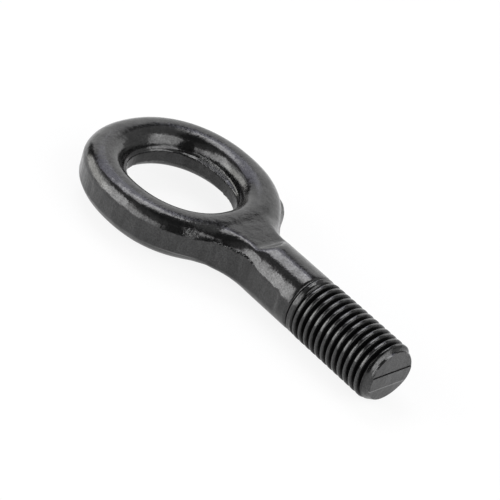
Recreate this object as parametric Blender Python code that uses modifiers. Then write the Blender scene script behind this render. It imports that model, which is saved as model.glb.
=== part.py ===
"""Screw-in recovery tow hook, built in the order the real one is made.

An oval bar, a neck and a shank are forged as one blank with its flash, the flash is trimmed and
pierced, and the end of the shank is turned and threaded. Metres, +Z up, the shank along +X. The
origin lies under the middle of the part, on the plane that the round collar touches.
"""

import math

import bmesh
import bpy
from mathutils.geometry import interpolate_bezier

MM = 0.001

# Eye, measured over its trimmed walls
EYE_LENGTH = 52.3 * MM
EYE_WIDTH = 48.1 * MM
EYE_POWER = 2.19
HOLE_LENGTH = 30.6 * MM
HOLE_WIDTH = 25.6 * MM
HOLE_POWER = 2.26
HOLE_OFFSET = 0.5 * MM

# Web of flash inside the forged eye, which the hole is pierced out of
WEB_LENGTH = 32.6 * MM
WEB_WIDTH = 28.8 * MM
WEB_POWER = 2.2
WEB_OFFSET = 0.2 * MM

# Forged bar of the eye before trimming, and the flash between the dies
BAR_TOP = 6.3 * MM
BAR_BOTTOM = 6.0 * MM
BAR_POWER = 2.4
TRIM_DEPTH = 0.55 * MM
FLASH_TOP = 1.6 * MM
FLASH_BOTTOM = 2.4 * MM
FLASH_MARGIN = 3.0 * MM

# Neck, from the eye's trimmed end to the crease, and the ramp up to the round shank. The powers
# give the fullness of its sections where they leave the eye: 2 is an ellipse, more is squarer.
NECK_LENGTH = 7.8 * MM
NECK_FLAT = 6.1 * MM
NECK_FALL = 2.5 * MM
NECK_POWER_ABOVE = 3.5
NECK_POWER_BELOW = 2.2
RAMP_LENGTH = 2.9 * MM

# Shank, from the crease to the collar
SHANK_DIAMETER = 15.8 * MM
SHANK_LENGTH = 17.0 * MM
SHANK_SIDE = 7.35 * MM
WAIST_SIDE = 6.9 * MM
WAIST_LENGTH = 1.0 * MM
WAIST_STEP = 4.0 * MM
TRIM_FADE = 4.5 * MM

# Corners between the eye and the shank: the inset from the eye's side where each starts, and the
# pull of its two ends. The trimmed far corner swings wide of the forged one and leaves a lip of flash.
CORNER_INSET = 1.4 * MM
CORNER_REACH = 14.5 * MM
CORNER_RUN = 9.5 * MM
LIP_INSET = 0.65 * MM
LIP_REACH = 18.5 * MM
LIP_RUN = 7.5 * MM

# Turned end
COLLAR_DIAMETER = 16.1 * MM
COLLAR_WIDTH = 0.4 * MM
COLLAR_CHAMFER = 1.3 * MM
RELIEF_DEPTH = 0.55 * MM
RELIEF_WIDTH = 0.9 * MM
THREAD_DIAMETER = 15.9 * MM
THREAD_LENGTH = 26.3 * MM
THREAD_PITCH = 2.0 * MM
THREAD_DEPTH = 0.95 * MM
THREAD_ROOT_FLAT = 0.25 * MM
THREAD_HALF_ANGLE = math.radians(30)
THREAD_RUNOUT_TURNS = 0.7
THREAD_START = math.radians(25)
THREAD_CLEARANCE = 0.3 * MM
COLLAR_SEAT = 0.1 * MM
CHAMFER_WIDTH = 2.2 * MM
CHAMFER_DEPTH = 1.35 * MM
END_STEP = 0.2 * MM
END_DRAFT = math.radians(4)
TURNED_CORE = 10.0 * MM
OVERRUN = 2.0 * MM

# Power of a circle, where an oval's section has its own
ROUND_POWER = 2.0

# Steps round and along each form
EYE_STEPS = 88
BACK_STEPS = 26
CORNER_STEPS = 14
NECK_STEPS = 10
BAR_STEPS = 6
SHANK_STEPS = 48
THREAD_STEPS = 24

EYE_END = EYE_LENGTH / 2
SHANK_RADIUS = SHANK_DIAMETER / 2
CROWN_END = (EYE_END + TRIM_DEPTH + WEB_LENGTH / 2 + WEB_OFFSET) / 2
CREASE_X = EYE_END + NECK_LENGTH
COLLAR_X = CREASE_X + SHANK_LENGTH
RELIEF_X = COLLAR_X + COLLAR_WIDTH + COLLAR_CHAMFER
THREAD_X = RELIEF_X + RELIEF_WIDTH
TIP_X = THREAD_X + THREAD_LENGTH
AXIS_HEIGHT = COLLAR_DIAMETER / 2
MIDDLE_X = (TIP_X - EYE_END) / 2


def oval_point(length, width, power, angle, inset=0.0):
    """A point of an oval, moved inwards by the inset along the oval's own normal."""
    cosine = math.cos(angle)
    sine = math.sin(angle)
    across = math.copysign(abs(cosine) ** (2 / power), cosine)
    up = math.copysign(abs(sine) ** (2 / power), sine)
    slope_x = math.copysign(abs(across) ** (power - 1), across) / length
    slope_y = math.copysign(abs(up) ** (power - 1), up) / width
    size = math.hypot(slope_x, slope_y)
    return (across * length / 2 - inset * slope_x / size, up * width / 2 - inset * slope_y / size)


def oval(length, width, power, steps, inset=0.0):
    """Points round a full oval."""
    angles = [2 * math.pi * step / steps for step in range(steps)]
    return [oval_point(length, width, power, angle, inset) for angle in angles]


def mesh_object(name, bm, collection):
    """A mesh object with its faces turned outwards."""
    bmesh.ops.recalc_face_normals(bm, faces=bm.faces)
    mesh = bpy.data.meshes.new(name)
    bm.to_mesh(mesh)
    bm.free()
    mesh.shade_smooth()
    mesh.set_sharp_from_angle(angle=math.radians(35))
    shape = bpy.data.objects.new(name, mesh)
    collection.objects.link(shape)
    return shape


def flat_curve(name, outline):
    """A closed two-dimensional curve through the outline's points."""
    curve = bpy.data.curves.new(name, "CURVE")
    spline = curve.splines.new("POLY")
    spline.points.add(len(outline) - 1)
    for point, (x, y) in zip(spline.points, outline):
        point.co = (x, y, 0, 1)
    spline.use_cyclic_u = True
    curve.dimensions = "2D"
    return curve


def curve_to_mesh(curve_object, collection):
    """The closed mesh of a curve, which takes its place."""
    bpy.context.view_layer.update()
    evaluated = curve_object.evaluated_get(bpy.context.evaluated_depsgraph_get())
    mesh = bpy.data.meshes.new_from_object(evaluated)
    bm = bmesh.new()
    bm.from_mesh(mesh)
    bmesh.ops.remove_doubles(bm, verts=bm.verts, dist=0.0001 * MM)
    name = curve_object.name
    place = curve_object.matrix_world.copy()
    bpy.data.objects.remove(curve_object)
    shape = mesh_object(name, bm, collection)
    shape.matrix_world = place
    return shape


def prism(name, outline, low, high, collection, upright=False):
    """An outline filled and extruded from low to high, along +Z, or across Y where upright."""
    curve = flat_curve(name, outline)
    curve.fill_mode = "BOTH"
    curve.extrude = (high - low) / 2
    guide = bpy.data.objects.new(name, curve)
    collection.objects.link(guide)
    if upright:
        guide.rotation_euler = (math.pi / 2, 0, 0)
        guide.location = (0, -(high + low) / 2, 0)
    else:
        guide.location = (0, 0, (high + low) / 2)
    return curve_to_mesh(guide, collection)


def boolean(shape, operation, other):
    """Join, cut or clip a shape by another one, which is then only a guide."""
    modifier = shape.modifiers.new(other.name, "BOOLEAN")
    modifier.operation = operation
    modifier.solver = "EXACT"
    modifier.object = other
    other.hide_render = True
    other.display_type = "WIRE"


def corner_angle(inset):
    """The angle on the eye's oval at an inset from its side, where a corner leaves it."""
    return math.asin((1 - 2 * inset / EYE_WIDTH) ** (EYE_POWER / 2))


def corner(outset, inset, reach, run, end_y):
    """Points of a corner, which leaves the eye along its tangent and runs out along the shank."""
    angle = corner_angle(inset)
    start = oval_point(EYE_LENGTH, EYE_WIDTH, EYE_POWER, angle, -outset)
    inner = oval_point(EYE_LENGTH, EYE_WIDTH, EYE_POWER, angle, reach)
    normal_x = (start[0] - inner[0]) / (outset + reach)
    normal_y = (start[1] - inner[1]) / (outset + reach)
    points = interpolate_bezier(
        start,
        (start[0] + reach * normal_y, start[1] - reach * normal_x),
        (CREASE_X - run, end_y),
        (CREASE_X, end_y),
        CORNER_STEPS + NECK_STEPS + 1,
    )
    return [tuple(point) for point in points]


def eye_angles():
    """Angles of the blank's sections round half the eye: its back, then closer at the corner."""
    turn = corner_angle(CORNER_INSET)
    back = [math.pi + (turn - math.pi) * step / BACK_STEPS for step in range(BACK_STEPS)]
    front = [turn * (1 - step / CORNER_STEPS) for step in range(CORNER_STEPS + 1)]
    return back + front


def blank_ring(angle):
    """Crown, outer edge and inner edge of the forged bar at an angle round the eye."""
    edge = oval_point(EYE_LENGTH, EYE_WIDTH, EYE_POWER, angle, -TRIM_DEPTH)
    x, y = oval_point(WEB_LENGTH, WEB_WIDTH, WEB_POWER, angle)
    inner = (x + WEB_OFFSET, y)
    crown = ((edge[0] + inner[0]) / 2, (edge[1] + inner[1]) / 2)
    return crown, edge, inner


def blank_stations():
    """Where the blank's half section goes from crown to edge, from the eye's back to the collar.

    Each station holds the crown, the edge, the crown's heights above and below the parting
    plane, and the powers of the section above and below.
    """
    stations = []
    edges = corner(TRIM_DEPTH, CORNER_INSET, CORNER_REACH, CORNER_RUN, SHANK_RADIUS)
    for step, angle in enumerate(eye_angles()[:-1]):
        crown, edge, _ = blank_ring(angle)
        along = 0
        if step >= BACK_STEPS:
            edge = edges[step - BACK_STEPS]
            along = (step - BACK_STEPS) / CORNER_STEPS
        above = BAR_POWER + (NECK_POWER_ABOVE - BAR_POWER) * along**2
        below = BAR_POWER + (NECK_POWER_BELOW - BAR_POWER) * along**2
        stations.append((crown, edge, BAR_TOP, BAR_BOTTOM, above, below))
    for step in range(NECK_STEPS + 1):
        along = step / NECK_STEPS
        crown = (CROWN_END + (CREASE_X - CROWN_END) * along, 0)
        top = BAR_TOP + (SHANK_RADIUS - BAR_TOP) * along
        bottom = BAR_BOTTOM + (SHANK_RADIUS - BAR_BOTTOM) * along
        above = ROUND_POWER + (NECK_POWER_ABOVE - ROUND_POWER) * (1 - along) ** 2
        below = ROUND_POWER + (NECK_POWER_BELOW - ROUND_POWER) * (1 - along) ** 2
        stations.append((crown, edges[CORNER_STEPS + step], top, bottom, above, below))
    end = ((COLLAR_X, 0), (COLLAR_X, SHANK_RADIUS))
    stations.append(end + (SHANK_RADIUS, SHANK_RADIUS, ROUND_POWER, ROUND_POWER))
    return stations


def quarter(bm, crown, edge, height, power, side, upright):
    """One row of the blank's skin, from its crown down or up to the parting plane."""
    row = []
    for step in range(BAR_STEPS + 1):
        angle = math.pi / 2 * step / BAR_STEPS
        out = abs(math.sin(angle)) ** (2 / power)
        rise = abs(math.cos(angle)) ** (2 / power) if step < BAR_STEPS else 0
        x = crown[0] + (edge[0] - crown[0]) * out
        y = crown[1] + (edge[1] - crown[1]) * out
        row.append(bm.verts.new((x, side * y, upright * height * rise)))
    return row


def skin(bm, rows):
    """Quads between one row of points and the next."""
    for row, following in zip(rows, rows[1:]):
        for index in range(len(row) - 1):
            corners = (row[index], row[index + 1], following[index + 1], following[index])
            bm.faces.new(corners)


def forged_blank(parts, guides):
    """Eye, neck and shank in one skin of quarter sections, flattened at the neck."""
    bm = bmesh.new()
    for side in (1, -1):
        for upright in (1, -1):
            outer = []
            for crown, edge, top, bottom, above, below in blank_stations():
                height = top if upright > 0 else bottom
                power = above if upright > 0 else below
                outer.append(quarter(bm, crown, edge, height, power, side, upright))
            skin(bm, outer)
            inner = []
            for angle in eye_angles():
                height = BAR_TOP if upright > 0 else BAR_BOTTOM
                crown, _, edge = blank_ring(angle)
                inner.append(quarter(bm, crown, edge, height, BAR_POWER, side, upright))
            skin(bm, inner)
    bmesh.ops.remove_doubles(bm, verts=bm.verts, dist=0.001 * MM)
    bmesh.ops.holes_fill(bm, edges=[edge for edge in bm.edges if edge.is_boundary])
    blank = mesh_object("tow_hook", bm, parts)

    over = SHANK_RADIUS + OVERRUN
    rise = (over - NECK_FLAT) * RAMP_LENGTH / (SHANK_RADIUS - NECK_FLAT)
    for name, side, start in (("flat_above", 1, BAR_TOP), ("flat_below", -1, BAR_BOTTOM)):
        wedge = [
            (CROWN_END, side * max(start, NECK_FLAT)),
            (CROWN_END + NECK_FALL, side * NECK_FLAT),
            (CREASE_X, side * NECK_FLAT),
            (CREASE_X + rise, side * over),
            (CROWN_END, side * over),
        ]
        boolean(blank, "DIFFERENCE", prism(name, wedge, -EYE_WIDTH / 2, EYE_WIDTH / 2, guides, upright=True))
    return blank


def trimmed_outline():
    """The line that the trimming die shears, seen from above, round from the far side."""
    near = corner(0, CORNER_INSET, CORNER_REACH, CORNER_RUN, WAIST_SIDE)
    far = corner(0, LIP_INSET, LIP_REACH, LIP_RUN, WAIST_SIDE)
    near_angle = corner_angle(CORNER_INSET)
    far_angle = corner_angle(LIP_INSET)
    eye = []
    for step in range(1, EYE_STEPS):
        angle = far_angle + (2 * math.pi - near_angle - far_angle) * step / EYE_STEPS
        eye.append(oval_point(EYE_LENGTH, EYE_WIDTH, EYE_POWER, angle))
    wide = SHANK_RADIUS + OVERRUN
    side = [
        (CREASE_X + WAIST_LENGTH, WAIST_SIDE),
        (CREASE_X + WAIST_LENGTH + WAIST_STEP, SHANK_SIDE),
        (COLLAR_X - TRIM_FADE, SHANK_SIDE),
        (COLLAR_X, wide),
        (COLLAR_X + OVERRUN, wide),
    ]
    near_side = [(x, -y) for x, y in near + side]
    return side[::-1] + far[::-1] + eye + near_side


def turned_end(guides):
    """Collar, relief, thread blank, chamfer and end, turned about the axis."""
    thread_radius = THREAD_DIAMETER / 2
    relief_radius = thread_radius - RELIEF_DEPTH
    outline = [
        (0, TIP_X),
        (thread_radius - CHAMFER_DEPTH, TIP_X),
        (thread_radius, TIP_X - CHAMFER_WIDTH),
        (thread_radius, THREAD_X),
        (relief_radius, THREAD_X - RELIEF_DEPTH),
        (relief_radius, RELIEF_X),
        (COLLAR_DIAMETER / 2, COLLAR_X + COLLAR_WIDTH),
        (COLLAR_DIAMETER / 2, COLLAR_X),
        (TURNED_CORE / 2, COLLAR_X - COLLAR_SEAT),
        (TURNED_CORE / 2, COLLAR_X - TURNED_CORE),
        (0, COLLAR_X - TURNED_CORE),
    ]
    bm = bmesh.new()
    points = [bm.verts.new((radius, 0, along)) for radius, along in outline]
    for point, following in zip(points, points[1:]):
        bm.edges.new((point, following))
    mesh = bpy.data.meshes.new("turned_end")
    bm.to_mesh(mesh)
    bm.free()
    end = bpy.data.objects.new("turned_end", mesh)
    guides.objects.link(end)
    end.rotation_euler = (0, math.pi / 2, 0)
    screw = end.modifiers.new("turn", "SCREW")
    screw.steps = SHANK_STEPS
    screw.render_steps = SHANK_STEPS
    screw.use_merge_vertices = True
    screw.merge_threshold = 0.001 * MM
    screw.use_smooth_shade = True
    return end


def thread_groove(guides):
    """The tool path of the right-hand thread: a tapered groove section along a helix."""
    crest = THREAD_DIAMETER / 2 + THREAD_CLEARANCE
    root = THREAD_DIAMETER / 2 - THREAD_DEPTH
    half_root = THREAD_ROOT_FLAT / 2
    half_crest = half_root + (crest - root) * math.tan(THREAD_HALF_ANGLE)
    section = [(-half_crest, crest), (-half_root, root), (half_root, root), (half_crest, crest)]
    start_x = THREAD_X - THREAD_RUNOUT_TURNS * THREAD_PITCH
    turns = (TIP_X + THREAD_PITCH - start_x) / THREAD_PITCH
    count = round(turns * THREAD_STEPS)
    bm = bmesh.new()
    rings = []
    for step in range(count + 1):
        turn = step / THREAD_STEPS
        lift = THREAD_DEPTH * max(0, 1 - turn / THREAD_RUNOUT_TURNS)
        angle = 2 * math.pi * turn + THREAD_START
        x = start_x + turn * THREAD_PITCH
        cosine = math.cos(angle)
        sine = math.sin(angle)
        ring = []
        for along, radius in section:
            out = radius + lift
            ring.append(bm.verts.new((x + along, out * cosine, out * sine)))
        rings.append(ring)
    for ring, following in zip(rings, rings[1:]):
        for index in range(len(section)):
            after = (index + 1) % len(section)
            bm.faces.new((ring[index], ring[after], following[after], following[index]))
    bm.faces.new(rings[0])
    bm.faces.new(rings[-1])
    return mesh_object("thread_groove", bm, guides)


def end_facets(hook, guides):
    """The drafted end face above and below the parting band, which stands a little proud."""
    reach = THREAD_DIAMETER / 2 + OVERRUN
    lean = reach * math.tan(END_DRAFT)
    for name, start, finish in (
        ("end_above", FLASH_TOP, reach),
        ("end_below", -FLASH_BOTTOM, -reach),
    ):
        wedge = [
            (TIP_X - END_STEP, start),
            (TIP_X + OVERRUN, start),
            (TIP_X + OVERRUN, finish),
            (TIP_X - END_STEP - lean, finish),
        ]
        boolean(hook, "DIFFERENCE", prism(name, wedge, -reach, reach, guides, upright=True))


def flash_plate(guides):
    """The flash that fills the gap between the dies, before it is trimmed and pierced."""
    length = EYE_LENGTH / 2 + FLASH_MARGIN + CREASE_X
    bm = bmesh.new()
    bmesh.ops.create_cube(bm, size=1.0)
    bmesh.ops.scale(bm, vec=(length, EYE_WIDTH + 2 * FLASH_MARGIN, FLASH_TOP + FLASH_BOTTOM), verts=bm.verts)
    middle = (CREASE_X - length / 2, 0, (FLASH_TOP - FLASH_BOTTOM) / 2)
    bmesh.ops.translate(bm, vec=middle, verts=bm.verts)
    return mesh_object("flash_plate", bm, guides)


def coating():
    """Black semi-gloss coating over the whole forging."""
    material = bpy.data.materials.new("black_coating")
    material.use_nodes = True
    shader = material.node_tree.nodes["Principled BSDF"]
    shader.inputs["Base Color"].default_value = (0.012, 0.012, 0.013, 1)
    shader.inputs["Metallic"].default_value = 0.0
    shader.inputs["Roughness"].default_value = 0.32
    return material


def tow_hook(parts, guides):
    """Forge, trim, pierce, turn and thread."""
    hook = forged_blank(parts, guides)
    boolean(hook, "UNION", flash_plate(guides))
    tall = SHANK_RADIUS + OVERRUN
    boolean(hook, "INTERSECT", prism("trim_die", trimmed_outline(), -tall, tall, guides))
    pierced = oval(HOLE_LENGTH, HOLE_WIDTH, HOLE_POWER, EYE_STEPS)
    pierced = [(x + HOLE_OFFSET, y) for x, y in pierced]
    boolean(hook, "DIFFERENCE", prism("piercing_punch", pierced, -tall, tall, guides))
    boolean(hook, "UNION", turned_end(guides))
    boolean(hook, "DIFFERENCE", thread_groove(guides))
    end_facets(hook, guides)
    return hook


for leftover in list(bpy.data.objects):
    bpy.data.objects.remove(leftover)

part_collection = bpy.data.collections.new("recovery_tow_hook")
guide_collection = bpy.data.collections.new("dies_and_tools")
bpy.context.scene.collection.children.link(part_collection)
bpy.context.scene.collection.children.link(guide_collection)

forging = tow_hook(part_collection, guide_collection)
forging.data.materials.append(coating())

axis = bpy.data.objects.new("shank_axis", None)
axis.location = (-MIDDLE_X, 0, AXIS_HEIGHT)
guide_collection.objects.link(axis)
for shape in list(part_collection.objects) + list(guide_collection.objects):
    if shape is not axis:
        shape.parent = axis
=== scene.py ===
"""Recovery tow hook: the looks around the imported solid.

The camera, the light and the floor come first, then the forged hook in the order it is made: the
forging, the trim and the piercing, their burr, the turned and threaded end, and the black coating.
"""

import math

import bmesh
import bpy
import numpy
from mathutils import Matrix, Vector, noise
from mathutils.geometry import interpolate_bezier


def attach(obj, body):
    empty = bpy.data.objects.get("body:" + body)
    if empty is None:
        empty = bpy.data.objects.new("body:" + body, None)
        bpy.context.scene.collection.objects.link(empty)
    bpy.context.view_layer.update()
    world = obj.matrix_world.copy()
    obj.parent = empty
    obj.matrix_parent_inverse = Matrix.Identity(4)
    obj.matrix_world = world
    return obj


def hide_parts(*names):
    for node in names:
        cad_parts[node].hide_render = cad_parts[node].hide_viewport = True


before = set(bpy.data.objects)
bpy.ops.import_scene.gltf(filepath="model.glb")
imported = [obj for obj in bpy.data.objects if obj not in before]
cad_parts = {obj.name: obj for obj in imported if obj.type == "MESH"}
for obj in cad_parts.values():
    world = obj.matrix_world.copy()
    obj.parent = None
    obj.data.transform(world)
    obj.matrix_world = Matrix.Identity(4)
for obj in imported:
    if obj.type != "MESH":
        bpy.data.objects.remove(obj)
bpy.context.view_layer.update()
MM = 0.001

# The camera stands where the photograph was taken from: above the threaded end, turned about its
# own axis, with a long lens from nearly half a metre away.
camera_data = bpy.data.cameras.new("camera")
camera_data.sensor_width = 36
camera_data.lens = 131.82
camera = bpy.data.objects.new("camera", camera_data)
camera.location = (237.458 * MM, -296.284 * MM, 252.974 * MM)
camera.rotation_euler = (0.97314, -0.27039, 0.85259)
bpy.context.scene.collection.objects.link(camera)
bpy.context.scene.camera = camera
bpy.context.scene.view_settings.view_transform = "Standard"

# The light is a pale studio that is dark on the camera's side, and its gaps show black in the
# coating. Overhead are a box and a glow, behind the hook is a white backdrop, on the left a strip,
# a box and a window before a pale wall with a dim top, and on the right a box and a dim wall.


def soft_box(name, azimuth, elevation, wide, high, brightness, distance=1.2):
    """A lamp placed by its direction from the hook, as wide and high in degrees as it looks."""
    lamp = bpy.data.lights.new(name, "AREA")
    lamp.shape = "RECTANGLE"
    lamp.size = 2 * distance * math.tan(math.radians(wide / 2))
    lamp.size_y = 2 * distance * math.tan(math.radians(high / 2))
    lamp.energy = brightness * math.pi * lamp.size * lamp.size_y
    box = bpy.data.objects.new(name, lamp)
    turn = math.radians(azimuth)
    lift = math.radians(elevation)
    out = Vector((math.cos(lift) * math.cos(turn), math.cos(lift) * math.sin(turn), math.sin(lift)))
    box.location = distance * out
    box.rotation_euler = (-out).to_track_quat("-Z", "Y").to_euler()
    box.visible_camera = False
    bpy.context.scene.collection.objects.link(box)


soft_box("overhead_box", 165, 63, 29, 20, 4.3)
soft_box("overhead_glow", 162, 48, 40, 24, 1.5, 1.4)
soft_box("backdrop", 130, 15, 74, 46, 1.1, 1.5)
soft_box("left_strip", 267, 9, 46, 36, 2.0)
soft_box("left_box", 208, 12, 44, 28, 2.2)
soft_box("left_window", 234, 21, 20, 40, 3.3)
soft_box("left_wall", 229, 14, 82, 50, 1.4, 1.4)
soft_box("left_wall_top", 240, 50, 80, 26, 0.2, 1.5)
soft_box("right_box", 2, 27, 58, 64, 3.1)
soft_box("right_wall", 65, 40, 66, 88, 0.45, 1.4)
bpy.data.lights["overhead_glow"].color = (0.95, 0.95, 1.1)
bpy.data.lights["left_box"].color = (1.02, 1.01, 0.95)

world = bpy.data.worlds.new("studio")
world.use_nodes = True
bpy.context.scene.world = world
nodes = world.node_tree.nodes
links = world.node_tree.links
background = nodes["Background"]
path = nodes.new("ShaderNodeLightPath")
shade = nodes.new("ShaderNodeMix")
shade.data_type = "RGBA"
shade.inputs["A"].default_value = (0.05, 0.05, 0.05, 1)
shade.inputs["B"].default_value = (1, 1, 1, 1)
links.new(path.outputs["Is Camera Ray"], shade.inputs["Factor"])
links.new(shade.outputs["Result"], background.inputs["Color"])

bpy.ops.object.select_all(action="DESELECT")
bpy.ops.mesh.primitive_plane_add(size=4, location=(0, 0, 0))
floor = bpy.context.object
floor.name = "studio_floor"
floor_paint = bpy.data.materials.new("floor_white")
floor_paint.use_nodes = True
nodes = floor_paint.node_tree.nodes
links = floor_paint.node_tree.links
shader = nodes["Principled BSDF"]
shader.inputs["Base Color"].default_value = (0.85, 0.85, 0.85, 1)
shader.inputs["Roughness"].default_value = 0.9
shader.inputs["Specular IOR Level"].default_value = 0.0
glow = nodes.new("ShaderNodeEmission")
path = nodes.new("ShaderNodeLightPath")

# The floor glows a little by itself, and more where the camera sees it, so that it looks white.
FLOOR_GLOW = 0.34
GLOW_SEEN_MORE = 0.52
lift = nodes.new("ShaderNodeMath")
lift.operation = "MULTIPLY_ADD"
lift.inputs[1].default_value = GLOW_SEEN_MORE
lift.inputs[2].default_value = FLOOR_GLOW
mix = nodes.new("ShaderNodeMixShader")
links.new(path.outputs["Is Camera Ray"], lift.inputs[0])
links.new(lift.outputs["Value"], mix.inputs["Fac"])
links.new(shader.outputs["BSDF"], mix.inputs[1])
links.new(glow.outputs["Emission"], mix.inputs[2])
links.new(mix.outputs["Shader"], nodes["Material Output"].inputs["Surface"])
floor.data.materials.append(floor_paint)

# The forging is one piece of steel. A round bar is upset and forged between two dies into an oval
# eye on a flattened neck, with a round shank behind it. Sizes are in millimetres from the eye's
# middle, the shank runs along +X, and the near side is at -Y.
EYE_LENGTH = 52.3
EYE_WIDTH = 48.1
EYE_POWER = 2.19
WEB_LENGTH = 32.6
WEB_WIDTH = 28.8
WEB_POWER = 2.2
WEB_OFFSET = 0.2
BAR_TOP = 6.3
BAR_BOTTOM = 6.0
BAR_POWER = 2.4
BAR_POWER_BELOW = 2.0
FAR_TRIM = 0.55
FAR_TRIM_FULL = math.radians(140)
SKIN_LENGTH = 31.5
SKIN_WIDTH = 28.5
SKIN_OFFSET = 0.35
SKIN_TAPER = 0.05
SKIN_TAPER_START = -5
SKIN_TAPER_END = 12
NECK_LENGTH = 7.8
NECK_FLAT = 6.1
NECK_FALL = 2.5
NECK_POWER_ABOVE = 3.5
NECK_POWER_BELOW = 2.2
RAMP_LENGTH = 2.9
SHANK_RADIUS = 7.9
SHANK_LENGTH = 17.0
CORNER_INSET = 1.4
CORNER_REACH = 14.5
CORNER_RUN = 9.5
WAIST_SIDE = 6.9
AXIS_HEIGHT = 8.05
MIDDLE_X = 26.85
OVERRUN = 2.0
CROWN_END = (EYE_LENGTH / 2 + FAR_TRIM + WEB_LENGTH / 2 + WEB_OFFSET) / 2
CREASE_X = EYE_LENGTH / 2 + NECK_LENGTH
COLLAR_X = CREASE_X + SHANK_LENGTH

# Along the near corner, from the eye at 0 to the crease at 1: how deep the trim cuts, and how full
# the skin below it is, as the power of its curve.
NEAR_TRIM = ((0.0, 0.38), (0.22, 0.24), (0.5, 0.26), (1.0, 1.0))
NEAR_FILL = (
    ((0, 1.9), (0.2, 1.8), (0.31, 1.75), (0.41, 1.85))
    + ((0.51, 2.35), (0.62, 2.9), (0.72, 2.65), (0.85, 2.35), (1, 2))
)


def smooth_step(low, high, value):
    share = min(1.0, max(0.0, (value - low) / (high - low)))
    return share * share * (3 - 2 * share)


def along_row(row, place):
    """The value of a row of places and values at a place between them."""
    return float(numpy.interp(place, *zip(*row)))


def oval_point(length, width, power, angle, inset=0.0):
    """A point of an oval, moved inwards by the inset along the oval's own normal."""
    cosine = math.cos(angle)
    sine = math.sin(angle)
    across = math.copysign(abs(cosine) ** (2 / power), cosine)
    up = math.copysign(abs(sine) ** (2 / power), sine)
    slope_x = math.copysign(abs(across) ** (power - 1), across) / length
    slope_y = math.copysign(abs(up) ** (power - 1), up) / width
    size = math.hypot(slope_x, slope_y)
    return (across * length / 2 - inset * slope_x / size, up * width / 2 - inset * slope_y / size)


def eye_point(angle, inset=0.0):
    return oval_point(EYE_LENGTH, EYE_WIDTH, EYE_POWER, angle, inset)


def corner_angle(inset):
    """The angle on the eye's oval at an inset from its side, where a corner leaves it."""
    return math.asin((1 - 2 * inset / EYE_WIDTH) ** (EYE_POWER / 2))


def corner(outset, inset, reach, run, end_y, count):
    """Points of a corner, which leaves the eye along its tangent and runs out along the shank."""
    angle = corner_angle(inset)
    start = eye_point(angle, -outset)
    inner = eye_point(angle, reach)
    normal_x = (start[0] - inner[0]) / (outset + reach)
    normal_y = (start[1] - inner[1]) / (outset + reach)
    points = interpolate_bezier(
        start,
        (start[0] + reach * normal_y, start[1] - reach * normal_x),
        (CREASE_X - run, end_y),
        (CREASE_X, end_y),
        count,
    )
    return [tuple(point) for point in points]


BACK_STEPS = 120
CORNER_STEPS = 70
NECK_STEPS = 50
SECTION_STEPS = 28
WELD = 0.0005


def eye_angles():
    turn = corner_angle(CORNER_INSET)
    back = [math.pi + (turn - math.pi) * step / BACK_STEPS for step in range(BACK_STEPS)]
    return back + [turn * (1 - step / CORNER_STEPS) for step in range(CORNER_STEPS + 1)]


def ring_points(angle, side):
    """Crown, outer edge and inner edge of the forged bar at an angle round the eye."""
    depth = (FAR_TRIM + NEAR_TRIM[0][1]) / 2
    depth += side * (FAR_TRIM - depth) * (1 - smooth_step(FAR_TRIM_FULL, math.pi, angle))
    edge = eye_point(angle, -depth)
    x, y = oval_point(WEB_LENGTH, WEB_WIDTH, WEB_POWER, angle)
    crown = ((edge[0] + x + WEB_OFFSET) / 2, (edge[1] + y) / 2)
    x, y = oval_point(SKIN_LENGTH, SKIN_WIDTH, WEB_POWER, angle)
    taper = SKIN_TAPER * smooth_step(SKIN_TAPER_START, SKIN_TAPER_END, x)
    return crown, edge, (x + SKIN_OFFSET, y * (1 - taper))


def near_edges(count):
    """The forged edge along the near corner, outside the trimmed one by the depth of the trim."""
    trimmed = corner(0, CORNER_INSET, CORNER_REACH, CORNER_RUN, WAIST_SIDE, count)
    edges = []
    for index, (x, y) in enumerate(trimmed):
        before = trimmed[max(0, index - 1)]
        after = trimmed[min(count - 1, index + 1)]
        run_x = after[0] - before[0]
        run_y = after[1] - before[1]
        size = math.hypot(run_x, run_y)
        depth = along_row(NEAR_TRIM, index / (count - 1))
        edges.append((x - depth * run_y / size, y + depth * run_x / size))
    return edges


def forging_stations(side):
    """Crown, edge, heights above and below, and powers above and below, from back to collar."""
    stations = []
    count = CORNER_STEPS + NECK_STEPS + 1
    if side < 0:
        edges = near_edges(count)
    else:
        edges = corner(FAR_TRIM, CORNER_INSET, CORNER_REACH, CORNER_RUN, SHANK_RADIUS, count)
    for step, angle in enumerate(eye_angles()[:-1]):
        crown, edge, _ = ring_points(angle, side)
        along = 0
        if step >= BACK_STEPS:
            edge = edges[step - BACK_STEPS]
            along = (step - BACK_STEPS) / CORNER_STEPS
        above = BAR_POWER + (NECK_POWER_ABOVE - BAR_POWER) * along**2
        below = BAR_POWER_BELOW + (NECK_POWER_BELOW - BAR_POWER_BELOW) * along**2
        if side < 0:
            below = along_row(NEAR_FILL, along * CORNER_STEPS / (count - 1))
        stations.append((crown, edge, BAR_TOP, BAR_BOTTOM, above, below))
    for step in range(NECK_STEPS + 1):
        along = step / NECK_STEPS
        crown = (CROWN_END + (CREASE_X - CROWN_END) * along, 0)
        top = BAR_TOP + (SHANK_RADIUS - BAR_TOP) * along
        bottom = BAR_BOTTOM + (SHANK_RADIUS - BAR_BOTTOM) * along
        above = 2 + (NECK_POWER_ABOVE - 2) * (1 - along) ** 2
        below = 2 + (NECK_POWER_BELOW - 2) * (1 - along) ** 2
        if side < 0:
            below = along_row(NEAR_FILL, (CORNER_STEPS + step) / (count - 1))
        stations.append((crown, edges[CORNER_STEPS + step], top, bottom, above, below))
    end = ((COLLAR_X, 0), (COLLAR_X, SHANK_RADIUS))
    stations.append(end + (SHANK_RADIUS, SHANK_RADIUS, 2, 2))
    return stations


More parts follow.
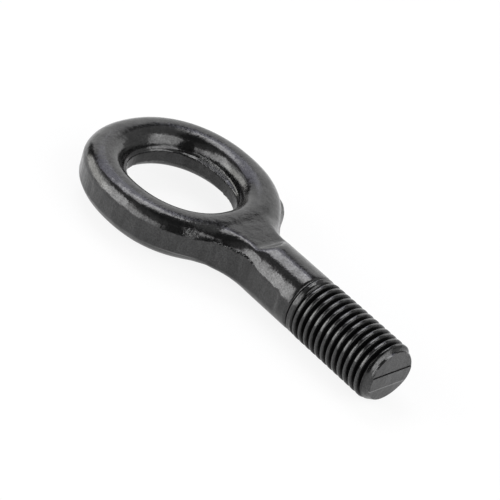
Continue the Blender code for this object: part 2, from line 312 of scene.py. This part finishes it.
def quarter(bm, crown, edge, height, power, side, upright):
    """One row of the skin, from its crown to the parting plane."""
    row = []
    for step in range(SECTION_STEPS + 1):
        angle = math.pi / 2 * step / SECTION_STEPS
        out = abs(math.sin(angle)) ** (2 / power)
        rise = abs(math.cos(angle)) ** (2 / power) if step < SECTION_STEPS else 0
        x = crown[0] + (edge[0] - crown[0]) * out
        y = crown[1] + (edge[1] - crown[1]) * out
        row.append(bm.verts.new((x, side * y, upright * height * rise)))
    return row


def skin(bm, rows):
    """Faces between open rows."""
    for row, following in zip(rows, rows[1:]):
        for index in range(len(row) - 1):
            corners = (row[index], row[index + 1], following[index + 1], following[index])
            bm.faces.new(corners)


def tube(bm, rings):
    """Faces between closed rings."""
    for ring, following in zip(rings, rings[1:]):
        for index in range(len(ring)):
            after = (index + 1) % len(ring)
            bm.faces.new((ring[index], ring[after], following[after], following[index]))


def mesh_piece(name, bm):
    """An object from a mesh in millimetres about the eye's middle, with its faces outwards."""
    bmesh.ops.recalc_face_normals(bm, faces=bm.faces)
    mesh = bpy.data.meshes.new(name)
    bm.to_mesh(mesh)
    bm.free()
    piece = bpy.data.objects.new(name, mesh)
    bpy.context.scene.collection.objects.link(piece)
    return piece


def welded_piece(name, bm):
    """An object from rows that meet, with what is still open filled."""
    bmesh.ops.remove_doubles(bm, verts=bm.verts, dist=WELD)
    bmesh.ops.holes_fill(bm, edges=[edge for edge in bm.edges if edge.is_boundary])
    return mesh_piece(name, bm)


def make_active(piece):
    bpy.ops.object.select_all(action="DESELECT")
    piece.select_set(True)
    bpy.context.view_layer.objects.active = piece


def cut(piece, operation, tool):
    """Join, cut or clip the piece by a tool, which is then taken away."""
    make_active(piece)
    modifier = piece.modifiers.new(tool.name, "BOOLEAN")
    modifier.operation = operation
    modifier.solver = "MANIFOLD"
    modifier.object = tool
    bpy.ops.object.modifier_apply(modifier=modifier.name)
    bpy.data.objects.remove(tool)


def even_skin(piece, voxel, rounds):
    """An even skin over the piece, with its edges eased by smoothing."""
    make_active(piece)
    modifier = piece.modifiers.new("even", "REMESH")
    modifier.mode = "VOXEL"
    modifier.voxel_size = voxel
    bpy.ops.object.modifier_apply(modifier=modifier.name)
    modifier = piece.modifiers.new("ease", "SMOOTH")
    modifier.factor = 0.5
    modifier.iterations = rounds
    bpy.ops.object.modifier_apply(modifier=modifier.name)


def prism(name, outline, low, high, upright=False):
    """An outline filled and extruded from low to high along +Z, or across Y where upright."""
    bm = bmesh.new()
    if upright:
        corners = [bm.verts.new((x, low, z)) for x, z in outline]
        reach = (0, high - low, 0)
    else:
        corners = [bm.verts.new((x, y, low)) for x, y in outline]
        reach = (0, 0, high - low)
    face = bm.faces.new(corners)
    grown = bmesh.ops.extrude_face_region(bm, geom=[face])
    moved = [item for item in grown["geom"] if isinstance(item, bmesh.types.BMVert)]
    bmesh.ops.translate(bm, vec=reach, verts=moved)
    return mesh_piece(name, bm)


bm = bmesh.new()
for side in (1, -1):
    for upright in (1, -1):
        outer = []
        for crown, edge, top, bottom, above, below in forging_stations(side):
            height = top if upright > 0 else bottom
            power = above if upright > 0 else below
            outer.append(quarter(bm, crown, edge, height, power, side, upright))
        skin(bm, outer)
        inner = []
        for angle in eye_angles():
            height = BAR_TOP if upright > 0 else BAR_BOTTOM
            crown, _, edge = ring_points(angle, side)
            power = BAR_POWER if upright > 0 else BAR_POWER_BELOW
            inner.append(quarter(bm, crown, edge, height, power, side, upright))
        skin(bm, inner)
hook = welded_piece("forged_hook", bm)

over = SHANK_RADIUS + OVERRUN
rise = (over - NECK_FLAT) * RAMP_LENGTH / (SHANK_RADIUS - NECK_FLAT)
for name, side, start in (("flat_above", 1, BAR_TOP), ("flat_below", -1, BAR_BOTTOM)):
    wedge = [
        (CROWN_END, side * max(start, NECK_FLAT)),
        (CROWN_END + NECK_FALL, side * NECK_FLAT),
        (CREASE_X, side * NECK_FLAT),
        (CREASE_X + rise, side * over),
        (CROWN_END, side * over),
    ]
    cut(hook, "DIFFERENCE", prism(name, wedge, -EYE_WIDTH / 2, EYE_WIDTH / 2, upright=True))
even_skin(hook, voxel=0.35, rounds=12)

FLASH_TOP = 1.6
FLASH_BOTTOM = 2.1
FLASH_MARGIN = 3.0
bpy.ops.object.select_all(action="DESELECT")
length = EYE_LENGTH / 2 + FLASH_MARGIN + CREASE_X
middle = (CREASE_X - length / 2, 0, (FLASH_TOP - FLASH_BOTTOM) / 2)
bpy.ops.mesh.primitive_cube_add(size=1, location=middle)
flash = bpy.context.object
flash.scale = (length, EYE_WIDTH + 2 * FLASH_MARGIN, FLASH_TOP + FLASH_BOTTOM)
bpy.ops.object.transform_apply(location=True, rotation=True, scale=True)
cut(hook, "UNION", flash)
even_skin(hook, voxel=0.3, rounds=4)

# The flash squeezed out between the dies is sheared off round the outside and pierced out of the
# eye. The shear leaves upright walls with a drawn grain, and a lip on the far corner.
HOLE_LENGTH = 30.6
HOLE_WIDTH = 25.6
HOLE_POWER = 2.26
HOLE_OFFSET = 0.5
SHANK_SIDE = 7.35
WAIST_LENGTH = 1.0
WAIST_STEP = 4.0
TRIM_FADE = 4.5
LIP_INSET = 0.65
LIP_REACH = 18.5
LIP_RUN = 7.5
LIP = (
    ((7, 0), (11, 0.3), (13.5, 1.2), (15.5, 1.35), (17.5, 1.2))
    + ((19, 0.95), (20.7, 0.6), (22.2, 0.25), (24.2, -0.3), (27, 0))
)
LIP_OUT_X = 0.5
LIP_OUT_Y = 0.86
TRIM_STRAY = 0.07
TRIM_GRAIN = 0.7
HOLE_STRAY = 0.05
HOLE_GRAIN = 0.8
GRAIN_BROADER = 6
GRAIN_FINE_SHARE = 0.6
EYE_STEPS = 560
HOLE_STEPS = 400
CORNER_POINTS = 120
WAIST_STEPS = 8
OUTLINE_STEP = 0.3


def shear_grain(x, y, depth, grain):
    """How far the shear strays from its line at a point."""
    fine = noise.noise((x / grain, y / grain, 3.1))
    broad = noise.noise((x / (GRAIN_BROADER * grain), y / (GRAIN_BROADER * grain), 7.7))
    return depth * (GRAIN_FINE_SHARE * fine + broad)


def roughen(outline, depth, grain):
    """The outline with the stray of the shear, along its normal."""
    rough = []
    count = len(outline)
    for index, (x, y) in enumerate(outline):
        before = outline[index - 1]
        after = outline[(index + 1) % count]
        run_x = after[0] - before[0]
        run_y = after[1] - before[1]
        size = math.hypot(run_x, run_y)
        stray = shear_grain(x, y, depth, grain)
        rough.append((x + stray * run_y / size, y - stray * run_x / size))
    return rough


def divided(path, longest):
    """The path with points added where its stretches are long."""
    fine = []
    for (x, y), (next_x, next_y) in zip(path, path[1:]):
        pieces = max(1, math.ceil(math.hypot(next_x - x, next_y - y) / longest))
        for piece in range(pieces):
            along = piece / pieces
            fine.append((x + (next_x - x) * along, y + (next_y - y) * along))
    return fine + path[-1:]


near = corner(0, CORNER_INSET, CORNER_REACH, CORNER_RUN, WAIST_SIDE, CORNER_POINTS)
far = []
for x, y in corner(0, LIP_INSET, LIP_REACH, LIP_RUN, WAIST_SIDE, CORNER_POINTS):
    lip = along_row(LIP, x)
    far.append((x + LIP_OUT_X * lip, y + LIP_OUT_Y * lip))
near_angle = corner_angle(CORNER_INSET)
far_angle = corner_angle(LIP_INSET)
round_eye = []
for step in range(1, EYE_STEPS):
    angle = far_angle + (2 * math.pi - near_angle - far_angle) * step / EYE_STEPS
    round_eye.append(eye_point(angle))
waist = []
for step in range(WAIST_STEPS + 1):
    rise = (SHANK_SIDE - WAIST_SIDE) * smooth_step(0, WAIST_STEPS, step)
    waist.append((CREASE_X + WAIST_LENGTH + WAIST_STEP * step / WAIST_STEPS, WAIST_SIDE + rise))
shank_line = waist + [
    (COLLAR_X - TRIM_FADE, SHANK_SIDE),
    (COLLAR_X, over),
    (COLLAR_X + OVERRUN, over),
]
near_line = [(x, -y) for x, y in near + shank_line]
outline = shank_line[::-1] + far[::-1] + round_eye + near_line
outline = divided(outline + outline[:1], OUTLINE_STEP)[:-1]
sheared = roughen(outline, TRIM_STRAY, TRIM_GRAIN)
cut(hook, "INTERSECT", prism("trim_die", sheared, -over, over))

pierced = []
for step in range(HOLE_STEPS):
    angle = 2 * math.pi * step / HOLE_STEPS
    x, y = oval_point(HOLE_LENGTH, HOLE_WIDTH, HOLE_POWER, angle)
    pierced.append((x + HOLE_OFFSET, y))
pierced = roughen(pierced, HOLE_STRAY, HOLE_GRAIN)
cut(hook, "DIFFERENCE", prism("piercing_punch", pierced, -over, over))
even_skin(hook, voxel=0.35, rounds=1)

# The shear left a ragged burr standing along the near corner's upper edge, in teeth that turn out
# from it. BURR_EDGE has the height of that edge at places along the hook.
BURR_EDGE = ((25, 3.9), (27.8, 3.68), (30.2, 3.55), (33.2, 3.75), (36.5, 3.7))
BURR_START = 25
BURR_END = 36.5
BURR_FADE_IN = 1.5
BURR_FADE_OUT = 2
BURR_STEP = 0.12
BURR_TOOTH = 0.55
BURR_BROAD = 1.6
BURR_FINE = 4.5
BURR_FINE_SHARE = 0.7
BURR_SUNK = 0.1
BURR_RISE = 0.95
BURR_OUTSIDE = 0.08
BURR_REACH = 0.3
BURR_INSIDE = 0.1
BURR_TIP_BACK = 0.17
BURR_TIP_DROP = 0.28
BURR_TIP_FOOT = 0.36
BURR_DEPTH = 0.6

bm = bmesh.new()
rings = []
for x, y in divided([(x, -y) for x, y in near + waist], BURR_STEP):
    if BURR_START < x < BURR_END:
        torn = abs(noise.noise((x * BURR_BROAD, y * BURR_BROAD, 4)))
        torn += BURR_FINE_SHARE * abs(noise.noise((x * BURR_FINE, y * BURR_FINE, 7)))
        ends = min(1.0, (x - BURR_START) / BURR_FADE_IN, (BURR_END - x) / BURR_FADE_OUT)
        top = along_row(BURR_EDGE, x) - BURR_SUNK + BURR_RISE * torn * ends
        outer = y - BURR_OUTSIDE - BURR_REACH * ends * (x / BURR_TOOTH % 1)
        corners = (
            (outer, top - BURR_TIP_FOOT),
            (outer, top - BURR_TIP_DROP),
            (outer + BURR_TIP_BACK, top),
            (y + BURR_INSIDE, top - BURR_DEPTH),
        )
        rings.append([bm.verts.new((x, side, height)) for side, height in corners])
tube(bm, rings)
bm.faces.new(rings[0])
bm.faces.new(rings[-1])
cut(hook, "UNION", mesh_piece("burr", bm))

# The end of the shank is turned to a collar and a thread blank, and the thread is cut along it from
# a run-out in the collar's chamfer to a chamfer at the tip. The chamfer is deepest on the far side.
COLLAR_START = 51.15
COLLAR_RADIUS = 8.05
COLLAR_TRIM = 0.5
COLLAR_OVERLAP = 4
COLLAR_SUNK = 3.05
CHAMFER_X = 51.5
CHAMFER_LEAST = 0.05
CHAMFER_DEEPER = 0.42
CHAMFER_SIDE = math.radians(45)
CHAMFER_SPREAD = 6
RUNOUT_X = 52.1
RUNOUT_RADIUS = 7.96
FULL_THREAD_X = 53.5
THREAD_X = COLLAR_X + 2.6
THREAD_LENGTH = 26.3
THREAD_RADIUS = 7.95
THREAD_PITCH = 2.0
THREAD_DEPTH = 1.1
THREAD_PHASE = 54.01
CHAMFER_WIDTH = 2.2
END_RADIUS = 6.6
END_LOWER = 0.32
UPPER_SUNK = 0.22
BAND_BOTTOM = -2.3
END_DRAFT = math.radians(4)
TIP_X = THREAD_X + THREAD_LENGTH
TURN_STEPS = 144

# Half of the groove's section: how far from its middle, and what share of its depth. The other
# half mirrors it, and the flat crest lies between one groove and the next.
GROOVE = ((0.0, 1.0), (0.1, 1.0), (0.17, 0.92), (0.64, 0.08), (0.69, 0.02), (0.75, 0.0))


def blank_radius(x, angle):
    """The turned blank before threading, from the collar to the tip."""
    deeper = max(0.0, math.cos(angle - CHAMFER_SIDE)) ** CHAMFER_SPREAD
    low = RUNOUT_RADIUS - CHAMFER_DEEPER * deeper
    collar = COLLAR_RADIUS - COLLAR_TRIM * math.cos(angle) ** 2
    low = min(low, collar - CHAMFER_LEAST)
    if x < RUNOUT_X:
        return low + (collar - low) * min(1.0, (RUNOUT_X - x) / (RUNOUT_X - CHAMFER_X))
    lead = low + (THREAD_RADIUS - low) * smooth_step(RUNOUT_X, FULL_THREAD_X, x)
    rim = END_RADIUS - END_LOWER * max(0.0, -math.sin(angle))
    chamfer = rim + (TIP_X - x) * (THREAD_RADIUS - END_RADIUS) / CHAMFER_WIDTH
    return min(lead, chamfer)


def turned(bm, x, radius, angle):
    return bm.verts.new((x, radius * math.cos(angle), radius * math.sin(angle)))


# The collar starts inside the shank. Its profile has how far it lies inside the blank, with both
# of its edges eased.
bm = bmesh.new()
profile = [
    (COLLAR_X - COLLAR_OVERLAP, COLLAR_SUNK),
    (COLLAR_START - 0.1, COLLAR_SUNK),
    (COLLAR_START - 0.02, 0.12),
    (COLLAR_START + 0.03, 0.03),
    (COLLAR_START + 0.1, 0.0),
    (CHAMFER_X - 0.04, 0.0),
    (CHAMFER_X + 0.06, 0.015),
    (CHAMFER_X + 0.35, 0.0),
    (RUNOUT_X, 0.0),
]
rings = []
for x, inset in profile:
    ring = []
    for step in range(TURN_STEPS):
        angle = 2 * math.pi * step / TURN_STEPS
        ring.append(turned(bm, x, blank_radius(x, angle) - inset, angle))
    rings.append(ring)
tube(bm, rings)
bm.faces.new(rings[0])

section = [(-away, share) for away, share in reversed(GROOVE[1:])] + list(GROOVE)
first_turn = math.floor((RUNOUT_X - THREAD_PHASE) / THREAD_PITCH) - 1
last_turn = math.ceil((TIP_X - THREAD_PHASE) / THREAD_PITCH) + 1
rows = []
for turn in range(first_turn, last_turn + 1):
    for away, share in section:
        points = []
        for step in range(TURN_STEPS + 1):
            angle = 2 * math.pi * step / TURN_STEPS
            x = THREAD_PHASE + THREAD_PITCH * (turn + step / TURN_STEPS) + away
            x = min(TIP_X, max(RUNOUT_X, x))
            depth = share * THREAD_DEPTH * smooth_step(RUNOUT_X, FULL_THREAD_X, x)
            radius = min(blank_radius(x, angle), THREAD_RADIUS - depth)
            points.append(turned(bm, x, radius, angle))
        rows.append(points)
skin(bm, rows)
cut(hook, "UNION", welded_piece("threaded_end", bm))

# The end face keeps the band of the parting line. Both faces beside it lean with the draft, and
# the upper one is sunk behind a square edge.
reach = THREAD_RADIUS + OVERRUN
lean = reach * math.tan(END_DRAFT)
for name, sunk, start, finish in (
    ("end_above", UPPER_SUNK, FLASH_TOP, reach),
    ("end_below", 0, BAND_BOTTOM, -reach),
):
    wedge = [
        (TIP_X - sunk, start),
        (TIP_X + OVERRUN, start),
        (TIP_X + OVERRUN, finish),
        (TIP_X - sunk - lean, finish),
    ]
    cut(hook, "DIFFERENCE", prism(name, wedge, -reach, reach, upright=True))

for vert in hook.data.vertices:
    x, y, z = vert.co
    vert.co = ((x - MIDDLE_X) * MM, y * MM, (z + AXIS_HEIGHT) * MM)
make_active(hook)
bpy.ops.object.shade_smooth_by_angle(angle=math.radians(40))

# The whole hook has one black coating, semi-gloss and thin. It follows the steel's own grain, the
# upright lines of the sheared walls, and two torn patches, on the near side and on the hole's
# ledge. Its reflection is turned down in the thread's grooves as painted shade, and a line of
# painted highlight crosses the end face.
coating = bpy.data.materials.new("black_coating")
coating.use_nodes = True
nodes = coating.node_tree.nodes
links = coating.node_tree.links
shader = nodes["Principled BSDF"]
shader.inputs["Base Color"].default_value = (0.0035, 0.0035, 0.0036, 1)
shader.inputs["IOR"].default_value = 1.58
place = nodes.new("ShaderNodeTexCoord")
facing = nodes.new("ShaderNodeNewGeometry")


def grain(scale, detail, stretch=(1, 1, 1)):
    """Noise over the hook, with as many grains to the metre as the scale."""
    mapping = nodes.new("ShaderNodeMapping")
    mapping.inputs["Scale"].default_value = stretch
    links.new(place.outputs["Object"], mapping.inputs["Vector"])
    texture = nodes.new("ShaderNodeTexNoise")
    texture.inputs["Scale"].default_value = scale
    texture.inputs["Detail"].default_value = detail
    links.new(mapping.outputs["Vector"], texture.inputs["Vector"])
    return texture.outputs["Fac"]


def ramp(value, low, high, start, end):
    """A value carried from one range to another, and held at its ends."""
    node = nodes.new("ShaderNodeMapRange")
    node.inputs["From Min"].default_value = low
    node.inputs["From Max"].default_value = high
    node.inputs["To Min"].default_value = start
    node.inputs["To Max"].default_value = end
    links.new(value, node.inputs["Value"])
    return node.outputs["Result"]


def combine(operation, one, other):
    node = nodes.new("ShaderNodeMath")
    node.operation = operation
    links.new(one, node.inputs[0])
    links.new(other, node.inputs[1])
    return node.outputs["Value"]


def relief(height, distance, strength, under=None):
    """A bump of the given height in metres, over the bump under it."""
    node = nodes.new("ShaderNodeBump")
    node.inputs["Distance"].default_value = distance
    if isinstance(strength, float):
        node.inputs["Strength"].default_value = strength
    else:
        links.new(strength, node.inputs["Strength"])
    links.new(height, node.inputs["Height"])
    if under is not None:
        links.new(under, node.inputs["Normal"])
    return node.outputs["Normal"]


def distance_from(centre):
    node = nodes.new("ShaderNodeVectorMath")
    node.operation = "DISTANCE"
    node.inputs[1].default_value = centre
    links.new(place.outputs["Object"], node.inputs[0])
    return node.outputs["Value"]


def between(value, low, high, fade):
    """One between two values, and nothing a little outside them."""
    above = ramp(value, low - fade, low, 0, 1)
    below = ramp(value, high, high + fade, 1, 0)
    return combine("MULTIPLY", below, above)


TORN_PATCH = (-0.0056, -0.0150, 0.0119)
TORN_LEDGE = (-0.0290, 0.0125, 0.0097)
axes = nodes.new("ShaderNodeSeparateXYZ")
links.new(facing.outputs["Normal"], axes.inputs["Vector"])
steep = nodes.new("ShaderNodeMath")
steep.operation = "ABSOLUTE"
links.new(axes.outputs["Z"], steep.inputs[0])
on_walls = ramp(steep.outputs["Value"], 0.02, 0.2, 1, 0)
on_patch = ramp(distance_from(TORN_PATCH), 0.0008, 0.0024, 1, 0)
spot = nodes.new("ShaderNodeSeparateXYZ")
links.new(place.outputs["Object"], spot.inputs["Vector"])
at_ledge = ramp(distance_from(TORN_LEDGE), 0.0048, 0.0058, 1, 0)
on_ledge = combine("MULTIPLY", between(spot.outputs["Z"], 0.0095, 0.0100, 0.0005), at_ledge)

skin_relief = relief(grain(420, 2), 0.0001, 1.0)
skin_relief = relief(grain(1900, 2), 0.000024, 1.0, skin_relief)
skin_relief = relief(grain(900, 2, (1, 1, 0.12)), 0.00006, on_walls, skin_relief)
skin_relief = relief(grain(1600, 3), 0.0004, on_patch, skin_relief)
skin_relief = relief(grain(1900, 3), 0.0003, on_ledge, skin_relief)
links.new(skin_relief, shader.inputs["Normal"])

from_axis = nodes.new("ShaderNodeVectorMath")
from_axis.operation = "MULTIPLY_ADD"
from_axis.inputs[1].default_value = (0, 1, 1)
from_axis.inputs[2].default_value = (0, 0, -AXIS_HEIGHT * MM)
links.new(place.outputs["Object"], from_axis.inputs[0])
off_axis = nodes.new("ShaderNodeVectorMath")
off_axis.operation = "LENGTH"
links.new(from_axis.outputs["Vector"], off_axis.inputs[0])
run_out = (RUNOUT_X - MIDDLE_X) * MM
tip = (TIP_X - MIDDLE_X) * MM
before_thread = ramp(spot.outputs["X"], run_out, run_out + 0.001, 1, 0)
past_thread = ramp(spot.outputs["X"], tip - 0.0022, tip - 0.0016, 0, 1)
# Painted shade: in the thread's grooves the reflection is turned down to 0.08, where shade falls.
on_crest = ramp(off_axis.outputs["Value"], 0.0075, 0.00794, 0.08, 1)
painted_groove_shade = combine("MAXIMUM", combine("MAXIMUM", before_thread, past_thread), on_crest)
specular_with_painted_light = combine("MULTIPLY", ramp(grain(380, 4, (1, 1, 0.3)), 0.3, 0.7, 0.8, 1.2), painted_groove_shade)
specular_with_painted_light = combine("MULTIPLY", ramp(grain(2900, 1), 0.3, 0.7, 0.36, 0.66), specular_with_painted_light)
# Painted highlight: along a thin line at the band's lower edge on the end face, the reflection is
# raised about 3.5 times.
line = (AXIS_HEIGHT + BAND_BOTTOM) * MM
on_line = between(spot.outputs["Z"], line - 0.0002, line + 0.00005, 0.0001)
on_end = ramp(spot.outputs["X"], tip - 0.0004, tip - 0.0003, 0, 0.7)
painted_highlight_line = combine("MULTIPLY", on_line, on_end)
specular_with_painted_light = combine("MULTIPLY", specular_with_painted_light, ramp(painted_highlight_line, 0, 1, 1, 4.5))
links.new(specular_with_painted_light, shader.inputs["Specular IOR Level"])
links.new(ramp(grain(700, 3), 0.3, 0.7, 0.14, 0.22), shader.inputs["Roughness"])
hook.data.materials.clear()
hook.data.materials.append(coating)

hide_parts("tow_hook")
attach(hook, "root")
